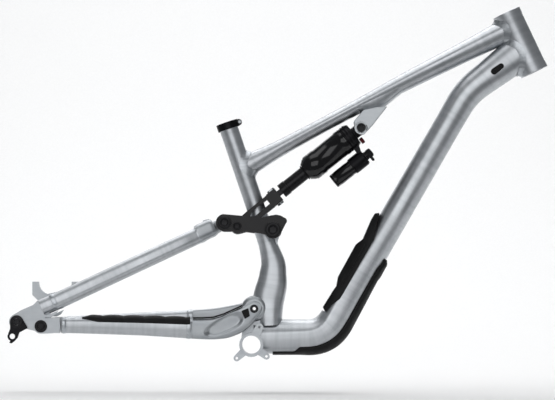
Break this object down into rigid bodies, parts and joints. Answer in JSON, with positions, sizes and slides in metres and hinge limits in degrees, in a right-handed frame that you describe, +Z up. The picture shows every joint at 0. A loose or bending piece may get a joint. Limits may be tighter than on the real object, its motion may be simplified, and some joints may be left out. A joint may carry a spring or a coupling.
{
  "type": "full-suspension bicycle frame",
  "caption": "Bare full-suspension mountain bicycle frame of silver alloy with a linkage-driven rear end, an air shock with a side reservoir, and a storage door in the down tube.",
  "frame": {"origin": "centre of the bottom bracket shell, on its axis", "axes": "+X forwards, towards the head tube; +Y to the rider's left; +Z up, as the frame stands on its wheels"},
  "size_m": [1.0025, 0.1876, 0.6628],
  "materials": {
    "frame_alloy": "brushed and clear-coated aluminium alloy tubing and forgings",
    "black_alloy": "black anodised aluminium alloy",
    "satin_black": "satin black paint over forged alloy",
    "black_plastic": "textured black nylon",
    "black_rubber": "soft black rubber",
    "steel": "bearing and fastener steel",
    "red_alloy": "red anodised aluminium alloy"
  },
  "bodies": {
    "front_frame": {"head_tube": "frame_alloy", "top_tube": "frame_alloy", "down_tube": "frame_alloy", "seat_tube_upper": "frame_alloy", "seat_tube_lower": "frame_alloy", "bottom_bracket_shell": "frame_alloy", "main_pivot_boss": "frame_alloy", "rocker_boss": "frame_alloy", "shock_mount": "frame_alloy", "seat_collar": "black_alloy", "seat_collar_bolt": "steel", "downtube_guard": "black_rubber", "hose_port": "black_rubber", "shock_mount_bolt": "black_alloy", "main_bearing_right": "steel", "main_bearing_left": "steel", "rocker_bearing_right": "steel", "rocker_bearing_left": "steel"},
    "chainstay": {"chainstay_yoke": "frame_alloy", "chainstay_right": "frame_alloy", "chainstay_left": "frame_alloy", "rear_clevis_right": "frame_alloy", "rear_clevis_left": "frame_alloy", "rear_pivot_bolt_right": "black_alloy", "rear_pivot_bolt_left": "black_alloy", "chainstay_guard": "black_rubber", "yoke_guard": "black_rubber", "hose_grommet": "black_rubber", "main_pivot_axle": "black_alloy"},
    "seatstay": {"seatstay_right": "frame_alloy", "seatstay_left": "frame_alloy", "dropout_right": "frame_alloy", "dropout_left": "frame_alloy", "seatstay_bridge": "frame_alloy", "rear_axle": "black_alloy", "axle_nut": "black_alloy", "derailleur_hanger": "black_alloy", "brake_mount": "frame_alloy", "rear_bearing_right": "steel", "rear_bearing_left": "steel"},
    "rocker": {"rocker_link": "satin_black", "rocker_bolt_right": "black_alloy", "rocker_bolt_left": "black_alloy", "stay_bolt_right": "black_alloy", "stay_bolt_left": "black_alloy", "yoke_bolt_right": "black_alloy", "yoke_bolt_left": "black_alloy"},
    "shock_body": {"shock_head": "black_alloy", "air_can": "satin_black", "reservoir": "satin_black", "reservoir_cap": "black_alloy", "travel_ring": "black_rubber"},
    "shock_shaft": {"shock_shaft": "black_alloy", "shock_yoke": "black_alloy", "yoke_clamp_bolt": "steel"},
    "rebound_dial": {"rebound_dial": "red_alloy"},
    "compression_dial": {"compression_lever": "black_alloy"},
    "storage_door": {"storage_door": "black_plastic"},
    "door_latch": {"door_latch": "black_alloy"}
  },
  "joints": [
    {"name": "suspension_travel", "type": "hinge", "parent": "front_frame", "child": "chainstay", "pos_m": [0.0054, 0, 0.0673], "axis": [0, 1, 0], "range_deg": [0, 18.5], "stiffness_Nm_per_rad": 2300},
    {"name": "seatstay_pivot", "type": "hinge", "parent": "chainstay", "child": "seatstay", "pos_m": [-0.3871, 0, 0.0354], "axis": [0, 1, 0], "range_deg": [-8.5, 0]},
    {"name": "rocker_pivot", "type": "hinge", "parent": "front_frame", "child": "rocker", "pos_m": [0.0405, 0, 0.2137], "axis": [0, 1, 0], "range_deg": [0, 46.83]},
    {"name": "shock_swing", "type": "hinge", "parent": "front_frame", "child": "shock_body", "pos_m": [0.2048, 0, 0.4048], "axis": [0, 1, 0], "range_deg": [0, 5.31]},
    {"name": "shock_stroke", "type": "slide", "parent": "shock_body", "child": "shock_shaft", "axis": [0.7822, 0, 0.623], "range_m": [0, 0.0474]},
    {"name": "rebound_dial_turn", "type": "hinge", "parent": "shock_body", "child": "rebound_dial", "pos_m": [0.20678, 0, 0.38145], "axis": [0.7822, 0, 0.623], "range_deg": [-170, 170]},
    {"name": "compression_dial_turn", "type": "hinge", "parent": "shock_body", "child": "compression_dial", "pos_m": [0.21891, 0, 0.35659], "axis": [0.7822, 0, 0.623], "range_deg": [0, 90]},
    {"name": "storage_door_slide", "type": "slide", "parent": "front_frame", "child": "storage_door", "axis": [-0.8721, 0, 0.4894], "range_m": [0, 0.04]},
    {"name": "door_latch_turn", "type": "hinge", "parent": "storage_door", "child": "door_latch", "pos_m": [0.16523, 0, 0.13276], "axis": [0, -1, 0], "range_deg": [0, 100]}
  ],
  "couplings": [
    {"joint": "seatstay_pivot", "follows": "suspension_travel", "ratio": -0.4586},
    {"joint": "rocker_pivot", "follows": "suspension_travel", "ratio": 2.53},
    {"joint": "shock_swing", "follows": "suspension_travel", "ratio": 0.2858},
    {"joint": "shock_stroke", "follows": "suspension_travel", "m_per_rad": 0.1466}
  ]
}
